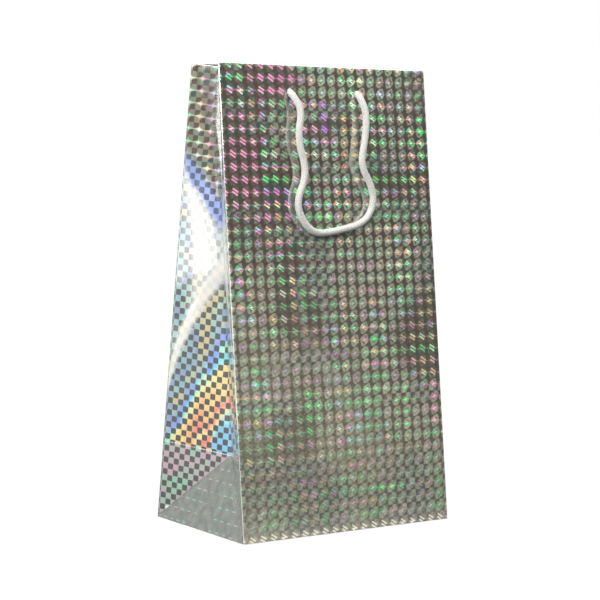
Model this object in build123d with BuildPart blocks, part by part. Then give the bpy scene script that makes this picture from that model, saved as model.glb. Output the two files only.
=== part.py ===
from build123d import *
import os
from math import acos, asin, cos, degrees, pi, radians, sin, sqrt, tan

# A two-bottle wine gift bag, folded from card, standing open with its mouth pinched in.
# Origin: centre of the base, on the surface it stands on. +Z up, the front faces -Y.

# ---- driving dimensions, mm ----
WIDTH = 180.0  # across the front panel
DEPTH = 115.0  # of the base, front to back
HEIGHT = 330.0  # of a panel, measured along the card
MOUTH = 35.4  # front to back at the top edge, as it stands
CARD = 0.4  # laminated card
HEM = 35.0  # card turned in round the mouth
STIFFENER = 1.0  # board strip inside the hem
STIFFENER_HEIGHT = 32.0
BOARD = 1.5  # loose board on the bottom
CORD = 5.0  # handle cord's diameter
HOLE_RADIUS = 3.0
HOLE_DROP = 20.0  # holes below the top edge
HOLE_SPACING = 58.5
HOLE_SHIFT = {"front": -2.25, "rear": 0.0}  # the punch sits a little off centre
KNOT_RADIUS = 6.0
TAIL = 13.0  # cord end below a knot's centre
SWING_OUT = 6.0  # handle's turning axis in front of the panel
FLAP_REACH = 20.0  # how far a long base flap passes the base's middle
SIDE_FLAP = 52.0
SEAM = 14.0  # width of the glued seam tab
SEAM_MARGIN = 2.0  # seam tab from the upright edge and from the hem
HEM_INSET = 11.0  # hem and stiffener stop short of the bag's upright edges
GUSSET_HEM_INSET = 10.0  # a gusset's hem stops short of them too
SIDE_FLAP_TAPER = 16.0  # a short base flap narrows by this at each end
BOARD_CORNER = 2.0

# clearances, mm
FOLD_GAP = 0.6  # panel's foot above the base fold
SIDE_GAP = 1.0  # gusset's edge from an upright edge or a base fold
DIAGONAL_GAP = 1.3  # gusset and foot from the diagonal fold
CREASE_GAP = 0.5  # the two halves of a gusset from each other
BEND_GAP = 0.6  # the two triangles of half a gusset from each other
CORNER_GAP = 5.0  # gusset from the mouth's corner, where it lies closest to the panel
END_GAP = 0.2  # a cord loop's round end from the cord that comes out of the hole
FLAP_FOLD_GAP = 0.2  # long base flaps from their folds
FLAP_SIDE_GAP = 0.3  # outer base flap from the bag's sides
LAP_GAP = 0.4  # inner base flap's step from the outer flap's edge
SIDE_FLAP_GAP = 1.4  # short base flaps from the sides
SIDE_FLAP_END_GAP = 2.0  # and from the front and rear
BOARD_GAP = (2.5, 2.0)  # loose board from the sides, and from the front and rear

BEND_SHARE = 0.45  # of the shorter run at a cord's corner, taken by its arc

# ---- shape that follows from them ----
HALF = DEPTH / 2
LEAN = asin((DEPTH - MOUTH) / 2 / HEIGHT)  # of the front and rear panels, inwards
FOOT_TILT = acos((1 - sin(LEAN)) / cos(LEAN))  # of the triangle at a gusset's foot
TOP = HEIGHT * cos(LEAN)
INNER_LAYERS = CARD + STIFFENER  # depth of the hem's inner card behind a panel's face
LAYER_WIDTH = WIDTH - 2 * HEM_INSET  # of hem and stiffener
INSIDE_REACH, INSIDE_UP = HALF * 0.7, TOP / 3  # a place well inside half of the bag


def crease_top():
    """x and z of a gusset crease's top: where the card's lengths to the corner and the apex meet."""
    apex_x, apex_z = WIDTH / 2 - HALF * sin(FOOT_TILT), HALF * cos(FOOT_TILT)
    from_corner, from_apex = sqrt(HALF**2 - (MOUTH / 2) ** 2), HEIGHT - HALF
    across, down = apex_x - WIDTH / 2, apex_z - TOP
    apart = sqrt(across**2 + down**2)
    along = (from_corner**2 - from_apex**2 + apart**2) / (2 * apart)
    aside = sqrt(from_corner**2 - along**2)
    x = WIDTH / 2 + (along * across + aside * down) / apart
    z = TOP + (along * down - aside * across) / apart
    return x, z


CREASE_X, CREASE_Z = crease_top()

FRONT = Plane((0, -HALF, 0), x_dir=(1, 0, 0), z_dir=(0, -cos(LEAN), sin(LEAN)))
REAR = Plane((0, HALF, 0), x_dir=(-1, 0, 0), z_dir=(0, cos(LEAN), sin(LEAN)))
WALLS = {"front": FRONT, "rear": REAR}
SIDES = {"left": -1, "right": 1}
FACES = {"front": -1, "rear": 1}


def hole_places(wall):
    """The two holes on a wall's plane, left one first as seen from outside that wall."""
    up = HEIGHT - HOLE_DROP
    return [(HOLE_SHIFT[wall] + side * HOLE_SPACING / 2, up) for side in (-1, 1)]


def save(part, name):
    part.label = name
    export_step(part, f"parts/{name}.step")


def wall_layer(wall, name, low, high, width, depth, thickness, holed=True):
    """A flat layer of a wall: from low to high up the card, at a depth behind its outer face."""
    with BuildPart() as layer:
        with BuildSketch(WALLS[wall].offset(-depth)):
            with Locations((0, (low + high) / 2)):
                Rectangle(width, high - low)
            if holed:
                with Locations(*hole_places(wall)):
                    Circle(HOLE_RADIUS, mode=Mode.SUBTRACT)
        extrude(amount=-thickness)
    save(layer.part, name)


def hem(wall):
    """The panel's turned-in card: over the stiffener's top edge and down its back."""
    with BuildPart() as turned:
        with BuildSketch(WALLS[wall].offset(-INNER_LAYERS)):
            with Locations((0, HEIGHT - HEM / 2)):
                Rectangle(LAYER_WIDTH, HEM)
            with Locations(*hole_places(wall)):
                Circle(HOLE_RADIUS, mode=Mode.SUBTRACT)
        extrude(amount=-CARD)
        with BuildSketch(WALLS[wall].offset(-CARD)):
            with Locations((0, HEIGHT - CARD / 2)):
                Rectangle(LAYER_WIDTH, CARD)
        extrude(amount=-STIFFENER)
    save(turned.part, f"{wall}_hem")


def seam_tab():
    """The tab that closes the tube of card, glued inside the rear panel by one upright edge."""
    low, high = HALF, HEIGHT - HEM - SEAM_MARGIN
    edge = WIDTH / 2 - SEAM_MARGIN
    with BuildPart() as tab:
        with BuildSketch(REAR.offset(-CARD)):
            with BuildLine():
                Polyline(
                    (edge, low),
                    (edge, high),
                    (edge - SEAM, high - SEAM / 2),
                    (edge - SEAM, low + SEAM / 2),
                    close=True,
                )
            make_face()
        extrude(amount=-CARD)
    save(tab.part, "seam_tab")


def score(start, end, radius):
    """A round cutter along a fold, which keeps the sheets that meet there apart."""
    long = (end - start).length
    with BuildPart(Plane(start, z_dir=end - start), mode=Mode.PRIVATE) as cutter:
        Cylinder(radius, long, align=(Align.CENTER, Align.CENTER, Align.MIN))
    return cutter.part


def plane_through(corners, inside):
    """The plane of three corners, with its normal towards the inside of the bag."""
    first, second, third = corners[:3]
    normal = (second - first).cross(third - first)
    if normal.dot(inside - first) < 0:
        normal = -normal
    return Plane(first, x_dir=second - first, z_dir=normal)


def outline(plane, corners):
    """A straight-sided face on a plane, from its corners in space."""
    flat = [plane.to_local_coords(corner) for corner in corners]
    with BuildSketch(plane, mode=Mode.PRIVATE) as face:
        with BuildLine():
            Polyline([(point.X, point.Y) for point in flat], close=True)
        make_face()
    return face.sketch


def gusset_corners(side, face):
    """Base corner, apex of the foot, top corner and crease top of one half of a gusset."""
    corner = Vector(side * WIDTH / 2, face * HALF, 0)
    apex = Vector(side * (WIDTH / 2 - HALF * sin(FOOT_TILT)), 0, HALF * cos(FOOT_TILT))
    top = Vector(side * WIDTH / 2, face * MOUTH / 2, TOP)
    crease = Vector(side * CREASE_X, 0, CREASE_Z)
    return corner, apex, top, crease


def gusset_triangle(side_name, face_name, part):
    """One of the two flat triangles of half a gusset, which bends along the line from apex to top
    corner: the outer one joins the panel's upright edge, the inner one the gusset's crease."""
    side, face = SIDES[side_name], FACES[face_name]
    corner, apex, top, crease = gusset_corners(side, face)
    inside = Vector(0, face * INSIDE_REACH, INSIDE_UP)
    if part == "outer":
        corners = [corner, apex, top]
        folds = [(corner, top, SIDE_GAP), (corner, apex, DIAGONAL_GAP)]
    else:
        corners = [apex, crease, top]
        folds = [(apex, crease, CREASE_GAP)]
    plane = plane_through(corners, inside)
    with BuildPart() as triangle:
        extrude(outline(plane, corners), amount=CARD)
        for start, end, radius in [*folds, (apex, top, BEND_GAP)]:
            add(score(start, end, radius), mode=Mode.SUBTRACT)
        with Locations(top):
            Sphere(CORNER_GAP, mode=Mode.SUBTRACT)
    save(triangle.part, f"{side_name}_gusset_{face_name}_{part}")


def gusset_hem(side_name, face_name):
    """The turned-in card on the inside of a half gusset's top."""
    side, face = SIDES[side_name], FACES[face_name]
    _, apex, top, crease = gusset_corners(side, face)
    inside = Vector(0, face * INSIDE_REACH, INSIDE_UP)
    plane = plane_through([apex, crease, top], inside).offset(CARD)
    along = (crease - top).normalized()
    down = (apex - crease).normalized() * HEM
    start = top + along * GUSSET_HEM_INSET
    end = crease - along * 2 * CREASE_GAP
    with BuildPart() as turned:
        extrude(outline(plane, [start, end, end + down, start + down]), amount=CARD)
    save(turned.part, f"{side_name}_gusset_hem_{face_name}")


def foot(side_name):
    """The triangle of card between a gusset and the base, which the gusset's fold tips inwards."""
    side = SIDES[side_name]
    front_corner, apex, _, _ = gusset_corners(side, -1)
    rear_corner = gusset_corners(side, 1)[0]
    plane = plane_through([front_corner, rear_corner, apex], Vector(0, 0, INSIDE_UP))
    with BuildPart() as triangle:
        extrude(outline(plane, [front_corner, rear_corner, apex]), amount=CARD)
        add(score(front_corner, rear_corner, SIDE_GAP), mode=Mode.SUBTRACT)
        add(score(front_corner, apex, DIAGONAL_GAP), mode=Mode.SUBTRACT)
        add(score(rear_corner, apex, DIAGONAL_GAP), mode=Mode.SUBTRACT)
    save(triangle.part, f"{side_name}_foot")


def base_flap_front():
    """The outer long flap, which the bag stands on."""
    wide, reach = WIDTH - 2 * FLAP_SIDE_GAP, HALF + FLAP_REACH - FLAP_FOLD_GAP
    with BuildPart() as flap:
        with Locations((0, -HALF + FLAP_FOLD_GAP, 0)):
            Box(wide, reach, CARD, align=(Align.CENTER, Align.MIN, Align.MIN))
    save(flap.part, "base_flap_front")


def base_flap_rear():
    """The inner long flap, which steps up over the outer one's edge."""
    lap, fold = FLAP_REACH + LAP_GAP, HALF - FLAP_FOLD_GAP
    step = lap + CARD
    with BuildPart() as flap:
        with BuildSketch(Plane.YZ.offset(-WIDTH / 2 + SIDE_GAP)):
            with BuildLine():
                Polyline(
                    (fold, 0),
                    (lap, 0),
                    (lap, CARD),
                    (-FLAP_REACH, CARD),
                    (-FLAP_REACH, 2 * CARD),
                    (step, 2 * CARD),
                    (step, CARD),
                    (fold, CARD),
                    close=True,
                )
            make_face()
        extrude(amount=WIDTH - 2 * SIDE_GAP)
    save(flap.part, "base_flap_rear")


def base_flap_side(side_name):
    """A short flap folded in from a side, under the loose board."""
    side = SIDES[side_name]
    edge, wide = WIDTH / 2 - SIDE_FLAP_GAP, HALF - SIDE_FLAP_END_GAP
    narrow = wide - SIDE_FLAP_TAPER
    with BuildPart() as flap:
        with BuildSketch(Plane.XY.offset(2 * CARD)):
            with BuildLine():
                Polyline(
                    (side * edge, -wide),
                    (side * edge, wide),
                    (side * (edge - SIDE_FLAP), narrow),
                    (side * (edge - SIDE_FLAP), -narrow),
                    close=True,
                )
            make_face()
        extrude(amount=CARD)
    save(flap.part, f"base_flap_{side_name}")


def base_board():
    """The loose board that flattens the bottom of the bag."""
    with BuildPart() as board:
        with BuildSketch(Plane.XY.offset(3 * CARD)):
            RectangleRounded(WIDTH - 2 * BOARD_GAP[0], DEPTH - 2 * BOARD_GAP[1], BOARD_CORNER)
        extrude(amount=BOARD)
    save(board.part, "base_board")


def knot(wall, number):
    """The knot behind a hole, with the cord through the hole and its cut end hanging down."""
    x, up = hole_places(wall)[number]
    behind = INNER_LAYERS + CARD + KNOT_RADIUS
    neck = SWING_OUT - CORD / 2 - END_GAP + behind
    with BuildPart(WALLS[wall].offset(-behind)) as knotted:
        with Locations((x, up, 0)):
            Sphere(KNOT_RADIUS)
            Cylinder(CORD / 2, neck, align=(Align.CENTER, Align.CENTER, Align.MIN))
        with Locations((x, up - TAIL / 2, 0)):
            Cylinder(CORD / 2, TAIL, rotation=(90, 0, 0))
    save(knotted.part, f"{wall}_knot_{('left', 'right')[number]}")


# Each handle's route on its wall, as seen from outside it: across from the middle,
# below the top edge, and out from the panel's face. It hangs from the holes and
# comes to rest against the panel, which slopes out beneath it.
ROUTES = {
    "front": [
        (-31.5, 20.0, 6.0),
        (-26.5, 33.0, 6.6),
        (-30.6, 53.0, 6.2),
        (-25.6, 77.0, 5.2),
        (-32.8, 97.0, 4.2),
        (-28.0, 112.0, 3.2),
        (-17.5, 119.6, 2.8),
        (2.0, 117.5, 2.7),
        (25.0, 112.5, 3.0),
        (33.2, 99.0, 3.8),
        (30.5, 84.0, 4.8),
        (24.2, 71.0, 5.4),
        (27.5, 53.0, 6.0),
        (29.8, 35.0, 6.6),
        (27.0, 20.0, 6.0),
    ],
    "rear": [
        (-29.25, 20.0, 6.0),
        (-31.5, 36.0, 6.5),
        (-28.5, 56.0, 6.1),
        (-32.0, 77.0, 5.2),
        (-30.5, 97.0, 4.2),
        (-23.5, 112.0, 3.2),
        (-10.0, 119.5, 2.8),
        (7.0, 119.0, 2.7),
        (22.0, 112.5, 3.0),
        (30.5, 98.0, 3.8),
        (32.5, 80.0, 4.9),
        (28.0, 60.0, 5.8),
        (30.8, 40.0, 6.3),
        (29.25, 20.0, 6.0),
    ],
}


def bend_radii(points):
    """The largest arc that each corner's two runs allow."""
    radii = []
    for before, here, after in zip(points, points[1:], points[2:]):
        arriving, leaving = here - before, after - here
        half_turn = radians(arriving.get_angle(leaving)) / 2
        radii.append(BEND_SHARE * min(arriving.length, leaving.length) / tan(half_turn))
    return radii


def cord(wall):
    """A handle's cord from hole to hole, with a round end on the turning axis at each."""
    plane = WALLS[wall]
    points = [
        plane.from_local_coords(Vector(across, HEIGHT - drop, out))
        for across, drop, out in ROUTES[wall]
    ]
    radii = bend_radii(points)
    with BuildPart() as tube:
        with BuildLine():
            route = FilletPolyline(*points, radius=radii)
        with BuildSketch(Plane(points[0], z_dir=points[1] - points[0])):
            Circle(CORD / 2)
        sweep()
    swept, section = tube.part.volume, pi * CORD**2 / 4
    with BuildPart() as loop:
        add(tube.part)
        with Locations(points[0], points[-1]):
            Sphere(CORD / 2)
    print(wall, "cord length", round(route.length, 1), "radii", [round(r) for r in radii])
    print(wall, "cord volume over section times length", swept / section / route.length)
    save(loop.part, f"{wall}_cord")


os.makedirs("parts", exist_ok=True)
stiffener_top = HEIGHT - CARD
for wall in WALLS:
    wall_layer(wall, f"{wall}_panel", FOLD_GAP, HEIGHT, WIDTH, 0, CARD)
    wall_layer(
        wall,
        f"{wall}_stiffener",
        stiffener_top - STIFFENER_HEIGHT,
        stiffener_top,
        LAYER_WIDTH,
        CARD,
        STIFFENER,
    )
    hem(wall)
    cord(wall)
    for number in (0, 1):
        knot(wall, number)
for side_name in SIDES:
    foot(side_name)
    base_flap_side(side_name)
    for face_name in FACES:
        for part in ("outer", "inner"):
            gusset_triangle(side_name, face_name, part)
        gusset_hem(side_name, face_name)
seam_tab()
base_flap_front()
base_flap_rear()
base_board()

axis = [WALLS[wall].from_local_coords(Vector(0, HEIGHT - HOLE_DROP, SWING_OUT)) for wall in WALLS]
print("lean", degrees(LEAN), "foot tilt", degrees(FOOT_TILT), "top", TOP)
print("crease top", CREASE_X, CREASE_Z, "handle axes", axis)
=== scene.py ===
from math import acos, asin, cos, pi, radians, sin, sqrt, tan

import bpy
import numpy as np
from mathutils import Matrix, Vector
from mathutils.geometry import delaunay_2d_cdt
from numpy.linalg import norm


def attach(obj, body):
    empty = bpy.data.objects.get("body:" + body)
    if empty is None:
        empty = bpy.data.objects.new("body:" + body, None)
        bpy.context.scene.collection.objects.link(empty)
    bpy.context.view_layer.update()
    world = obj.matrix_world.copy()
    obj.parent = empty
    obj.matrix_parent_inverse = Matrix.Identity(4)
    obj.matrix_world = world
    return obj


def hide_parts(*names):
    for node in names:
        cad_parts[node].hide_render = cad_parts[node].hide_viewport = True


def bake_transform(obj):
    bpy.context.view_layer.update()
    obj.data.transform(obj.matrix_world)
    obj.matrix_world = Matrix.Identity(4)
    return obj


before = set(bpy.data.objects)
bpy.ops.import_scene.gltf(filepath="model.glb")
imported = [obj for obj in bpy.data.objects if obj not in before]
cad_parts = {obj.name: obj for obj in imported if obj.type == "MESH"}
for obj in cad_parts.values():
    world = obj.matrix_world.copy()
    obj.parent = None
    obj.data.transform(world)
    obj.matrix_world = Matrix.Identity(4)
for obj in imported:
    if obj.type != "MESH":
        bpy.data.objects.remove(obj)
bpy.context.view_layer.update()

# The bag is worked out on its flat sheet of card, in mm: U runs round the bag from the front
# panel's left edge, V runs up from the base fold. Every sheet maps (U, V) into space.
# Origin: centre of the base, on the floor. +Z up, the front faces -Y.

MM = 0.001
WIDTH = 180.0  # across a panel
DEPTH = 115.0  # of the base
HEIGHT = 330.0  # of a panel, along the card
MOUTH = 35.4  # front to back at the top edge
CARD = 0.4
HEM = 35.0  # card turned in round the mouth
STIFFENER = 1.0
CORD = 5.0
HOLE_RADIUS = 3.0
HOLE_DROP = 20.0  # holes below the top edge
HOLE_SPACING = 58.5
HOLE_SHIFT = {"front": -2.25, "rear": 0.0}
SWING_OUT = 6.0  # a handle's turning axis in front of its panel
FOLD = 0.8  # radius of an upright fold
TURN = pi - radians(62.36)  # through which the card turns there
RIM = 0.9  # radius of a panel's fold over its stiffener
SIDE_RIM = 0.42  # radius of a gusset's, which has none
FOLD_SHIFT = 9.0  # how far the half gusset's own bend bows towards the crease

HALF = DEPTH / 2
LEAN = asin((DEPTH - MOUTH) / 2 / HEIGHT)
FOOT_TILT = acos((1 - sin(LEAN)) / cos(LEAN))
TOP = HEIGHT * cos(LEAN)
APEX_X, APEX_Z = WIDTH / 2 - HALF * sin(FOOT_TILT), HALF * cos(FOOT_TILT)  # of a foot
SETBACK = FOLD * tan(TURN / 2)
RIM_START = HEIGHT - RIM
FACES = {"front": -1, "rear": 1}
SIDES = {"left": -1, "right": 1}
PANEL_START = {"front": 0.0, "rear": WIDTH + DEPTH}  # U at a panel's edge
# the half gussets: U at the upright edge, the way it runs from there, slope of the bulge, seed
HALVES = {
    ("left", "front"): (0.0, -1, 0.04, 30),
    ("left", "rear"): (-DEPTH, 1, 0.125, 29),
    ("right", "front"): (WIDTH, 1, 0.09, 31),
    ("right", "rear"): (WIDTH + DEPTH, -1, 0.06, 30),
}

# the film's lattice, in mm
CELL = 8.65  # across
ROW = 8.82  # up
ROW_SHIFT = 0.76  # in rows

# The buckle of a gusset, in mm, by the distance from the nearest upright edge. Its foot climbs
# with the root of that distance, and its head falls evenly.
BUCKLE_FOOT, FOOT_CLIMB = 79.0, 17.5
BUCKLE_HEAD, HEAD_FALL = 256.0, 52.0
GUSSET_SPAN = 50.0  # the distance over which the head falls by that
# It starts beside the edge, and further off, by an arch, about its middle height.
BUCKLE_START, START_ARCH = 2.5, 12.0
ARCH_MIDDLE, ARCH_HALF_HEIGHT = 168.0, 75.0

CAMERA_PLACE = (-0.7925, -1.1176, 0.2755)
CAMERA_TURN = [radians(angle) for angle in (35.14, 4.84, 0.943)]  # yaw, pitch, roll


# ---- objects and camera ----
def make_object(name, data, materials=()):
    made = bpy.data.objects.new(name, data)
    for material in materials:
        data.materials.append(material)
    bpy.context.scene.collection.objects.link(made)
    return made


def make_camera():
    """Its yaw is clockwise from +Y, and its pitch is downwards."""
    camera = make_object("camera", bpy.data.cameras.new("camera"))
    yaw, pitch, roll = CAMERA_TURN
    forward = Vector((sin(yaw) * cos(pitch), cos(yaw) * cos(pitch), -sin(pitch)))
    level = Vector((cos(yaw), -sin(yaw), 0))
    upward = level.cross(forward)
    right = cos(roll) * level + sin(roll) * upward
    up = cos(roll) * upward - sin(roll) * level
    turn = Matrix((right, up, -forward)).transposed().to_4x4()
    camera.matrix_world = Matrix.Translation(CAMERA_PLACE) @ turn
    camera.data.lens = 114
    camera.data.sensor_width = 36
    camera.data.clip_start = 0.05
    bpy.context.scene.camera = camera


make_camera()


# ---- places on the bag ----
def on_wall(wall, across, up, out=0.0):
    """Points on the front or rear panel's plane: across and up as seen from outside, in mm."""
    face = FACES[wall]
    across, up, out = np.broadcast_arrays(across, up, out)
    x = -face * across
    y = face * (HALF - up * sin(LEAN) + out * cos(LEAN))
    z = up * cos(LEAN) + out * sin(LEAN)
    return np.stack([x, y, z], axis=-1)


def hole_places(wall):
    up = HEIGHT - HOLE_DROP
    return [(HOLE_SHIFT[wall] + side * HOLE_SPACING / 2, up) for side in (-1, 1)]


# ---- meshes ----
def make_mesh(name, points, faces):
    mesh = bpy.data.meshes.new(name)
    mesh.from_pydata([tuple(point) for point in points * MM], [], faces)
    mesh.polygons.foreach_set("use_smooth", [True] * len(mesh.polygons))
    return mesh


def distances(points):
    """How far along a line each of its points is."""
    return np.concatenate([[0], np.cumsum(norm(np.diff(points, axis=0), axis=1))])


def closed(first, count):
    """The edges of a closed ring of points."""
    return [(first + i, first + (i + 1) % count) for i in range(count)]


def tube(name, path, profile):
    """A closed tube along a path in mm. profile gives its radius by angle and by distance."""
    distance = distances(path)
    tangents = np.gradient(path, distance, axis=0)
    tangents /= norm(tangents, axis=1)[:, None]
    side = np.cross(tangents[0], (0.3, 0.5, 0.81))
    side /= norm(side)
    sides = [side]
    for tangent in tangents[1:]:
        side = sides[-1] - tangent * np.dot(sides[-1], tangent)
        sides.append(side / norm(side))
    sides = np.array(sides)
    others = np.cross(tangents, sides)
    count = 40
    angles = np.linspace(0, 2 * pi, count, endpoint=False)
    radius = profile(angles[None, :], distance[:, None])
    ring = np.cos(angles)[None, :, None] * sides[:, None] + np.sin(angles)[None, :, None] * others[:, None]
    points = (path[:, None] + radius[..., None] * ring).reshape(-1, 3)
    first = len(points)
    rings = range(0, first - count, count)
    faces = [(i, j, j + count, i + count) for start in rings for i, j in closed(start, count)]
    points = np.vstack([points, path[0], path[-1]])
    for (i, j), (k, m) in zip(closed(0, count), closed(first - count, count)):
        faces += [(first, j, i), (first + 1, k, m)]
    return make_mesh(name, points, faces)


def braid(angle, distance):
    """The bumpy round surface of a braided cord: strands crossing in two directions."""
    strands, pitch = 8, 13.0
    turn = 2 * pi * distance / pitch
    one = np.cos(strands * angle + strands * turn / 2)
    other = np.cos(strands * angle - strands * turn / 2)
    return CORD / 2 * (0.955 + 0.035 * np.maximum(one, other) + 0.012 * np.minimum(one, other))


def smooth_line(name, points):
    """The spline with these control points, in metres, as points 0.5 mm apart, in mm."""
    curve = bpy.data.curves.new(name, "CURVE")
    curve.dimensions = "3D"
    spline = curve.splines.new("NURBS")
    spline.points.add(len(points) - 1)
    for knot, point in zip(spline.points, points):
        knot.co = (*point, 1.0)
    spline.order_u = 3
    spline.use_endpoint_u = True
    spline.resolution_u = 24
    holder = make_object(name, curve)
    bpy.context.view_layer.update()
    mesh = bpy.data.meshes.new_from_object(holder)
    line = np.array([vertex.co for vertex in mesh.vertices], float) / MM
    bpy.data.objects.remove(holder)
    bpy.data.curves.remove(curve)
    bpy.data.meshes.remove(mesh)
    distance = distances(line)
    wanted = np.linspace(0, distance[-1], int(round(distance[-1] / 0.5)) + 1)
    return np.stack([np.interp(wanted, distance, line[:, k]) for k in range(3)], axis=1)


# ---- materials ----
def srgb(*display):
    """A colour given by its 0 to 255 display values, as light."""
    levels = [value / 255 for value in display]
    light = [c / 12.92 if c <= 0.04045 else ((c + 0.055) / 1.055) ** 2.4 for c in levels]
    return (*light, 1.0)


class Value:
    """A socket in a material. A sum done with it grows a node for that sum."""

    def __init__(self, tree, socket):
        self.tree = tree
        self.socket = socket

    def run(self, operation, *others):
        node = self.tree.nodes.new("ShaderNodeMath")
        node.operation = operation
        for entry, value in zip(node.inputs, (self, *others)):
            plug(self.tree, value, entry)
        return Value(self.tree, node.outputs[0])

    def __add__(self, other):
        return self.run("ADD", other)

    __radd__ = __add__

    def __sub__(self, other):
        return self.run("SUBTRACT", other)

    def __rsub__(self, other):
        return (self * -1) + other

    def __mul__(self, other):
        return self.run("MULTIPLY", other)

    __rmul__ = __mul__

    def __truediv__(self, other):
        return self.run("DIVIDE", other)

    def __abs__(self):
        return self.run("ABSOLUTE")

    def least(self, other):
        return self.run("MINIMUM", other)

    def most(self, other):
        return self.run("MAXIMUM", other)

    def wave(self):
        """sin(2 pi x)"""
        return (self * (2 * pi)).run("SINE")

    def step(self, low, high):
        """0 below low, 1 above high, smooth between. Low may be the larger."""
        node = self.tree.nodes.new("ShaderNodeMapRange")
        node.interpolation_type = "SMOOTHSTEP"
        for entry, value in (("Value", self), ("From Min", low), ("From Max", high)):
            plug(self.tree, value, node.inputs[entry])
        return Value(self.tree, node.outputs[0])

    def within(self, low, high, edge):
        return self.step(low - edge, low + edge) * self.step(high + edge, high - edge)


def plug(tree, value, entry):
    if isinstance(value, Value):
        tree.links.new(value.socket, entry)
    else:
        entry.default_value = value


class Paint:
    """A material being painted, with the nodes that its sums start from. Colours that go into
    its mixes and ramps are display values, 0 to 255."""

    def __init__(self, name):
        self.material = bpy.data.materials.new(name)
        self.material.use_nodes = True
        self.tree = self.material.node_tree
        self.shader = self.tree.nodes["Principled BSDF"]

    def node(self, kind, output=0, settings=(), **entries):
        node = self.tree.nodes.new(kind)
        for key, value in dict(settings).items():
            setattr(node, key, value)
        for key, value in entries.items():
            plug(self.tree, value, node.inputs[key])
        return Value(self.tree, node.outputs[output])

    def split(self, vector):
        node = self.tree.nodes.new("ShaderNodeSeparateXYZ")
        self.tree.links.new(vector.socket, node.inputs[0])
        return [Value(self.tree, output) for output in node.outputs]

    def paper(self):
        """U and V in lattice cells."""
        return self.split(self.node("ShaderNodeUVMap", settings={"uv_map": "paper"}))[:2]

    def place(self):
        """Where a point is on the object, in metres."""
        return self.node("ShaderNodeTexCoord", output="Object")

    def vector(self, x, y, z=0.0):
        return self.node("ShaderNodeCombineXYZ", X=x, Y=y, Z=z)

    def noise(self, vector, scale, detail=2.0, rough=0.5):
        entries = {"Vector": vector, "Scale": scale, "Detail": detail, "Roughness": rough}
        return self.node("ShaderNodeTexNoise", output="Fac", **entries)

    def chance(self, vector):
        return self.node("ShaderNodeTexWhiteNoise", output="Value", Vector=vector)

    def ramp(self, value, stops):
        node = self.tree.nodes.new("ShaderNodeValToRGB")
        plug(self.tree, value, node.inputs[0])
        elements = node.color_ramp.elements
        while len(elements) < len(stops):
            elements.new(0.5)
        for element, (place, color) in zip(elements, stops):
            element.position = place
            element.color = srgb(*color)
        return Value(self.tree, node.outputs[0])

    def mix(self, factor, one, other):
        node = self.tree.nodes.new("ShaderNodeMix")
        node.data_type = "RGBA"
        node.clamp_factor = True
        for entry, value in ((0, factor), (6, one), (7, other)):
            if isinstance(value, tuple):
                value = srgb(*value)
            plug(self.tree, value, node.inputs[entry])
        return Value(self.tree, node.outputs[2])

    def bump(self, height, distance, strength):
        entries = {"Height": height, "Distance": distance, "Strength": strength}
        return self.node("ShaderNodeBump", output="Normal", **entries)

    def finish(self, **entries):
        for key, value in entries.items():
            plug(self.tree, value, self.shader.inputs[key.replace("_", " ")])
        return self.material


def paint_cord():
    paint = Paint("cord_white")
    place = paint.place()
    fibres = paint.noise(place, 1500.0, 3.0, 0.7)
    tone = paint.noise(place, 60.0, 2.0)
    shade = paint.mix(fibres.step(0.25, 0.75), (126, 125, 120), (198, 197, 192))
    shade = paint.mix(tone.step(0.35, 0.7) * 0.35, shade, (172, 168, 160))
    normal = paint.bump(fibres, 0.0006, 0.8)
    sheen = {"Sheen_Weight": 0.25, "Sheen_Roughness": 0.5}
    return paint.finish(Base_Color=shade, Roughness=0.62, Normal=normal, **sheen)


def card_shade(paint):
    """The card's white inner side: its colour and its grain."""
    place = paint.place()
    grain = paint.noise(place, 900.0, 4.0, 0.6)
    cloud = paint.noise(place, 25.0, 2.0)
    shade = paint.mix(grain.step(0.3, 0.7), (222, 222, 218), (238, 238, 235))
    return paint.mix(cloud.step(0.4, 0.75) * 0.3, shade, (214, 213, 207)), grain


def paint_paper():
    paint = Paint("white_card_back")
    shade, grain = card_shade(paint)
    return paint.finish(Base_Color=shade, Roughness=0.72, Normal=paint.bump(grain, 0.0001, 0.4))


def paint_board():
    paint = Paint("grey_board")
    place = paint.place()
    fibre = paint.noise(place, 700.0, 5.0, 0.65)
    fleck = paint.noise(place, 2400.0, 1.0)
    shade = paint.mix(fibre.step(0.3, 0.7), (150, 147, 140), (184, 181, 173))
    shade = paint.mix(fleck.step(0.66, 0.72) * 0.6, shade, (98, 92, 84))
    return paint.finish(Base_Color=shade, Roughness=0.85, Normal=paint.bump(fibre, 0.0002, 0.5))


# colours by their 0 to 255 display values; each ramp gives a place from 0 to 1 with a colour
SPECTRUM = [
    (0.00, (128, 152, 232)), (0.07, (110, 172, 240)), (0.14, (125, 224, 236)),
    (0.21, (190, 240, 196)), (0.29, (248, 234, 150)), (0.44, (252, 214, 130)),
    (0.58, (250, 170, 112)), (0.68, (244, 132, 116)), (0.78, (250, 224, 150)),
    (0.90, (160, 232, 224)), (1.00, (122, 200, 240)),
]
# glints on the panels: mostly green and white, with narrow bands of other colours
GLINTS = [
    (0.00, (60, 214, 110)), (0.20, (150, 232, 160)), (0.32, (232, 240, 226)),
    (0.42, (240, 226, 140)), (0.50, (244, 150, 96)), (0.56, (238, 214, 208)),
    (0.64, (244, 120, 190)), (0.72, (196, 110, 220)), (0.80, (196, 214, 240)),
    (0.90, (110, 224, 190)), (1.00, (60, 214, 110)),
]
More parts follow.
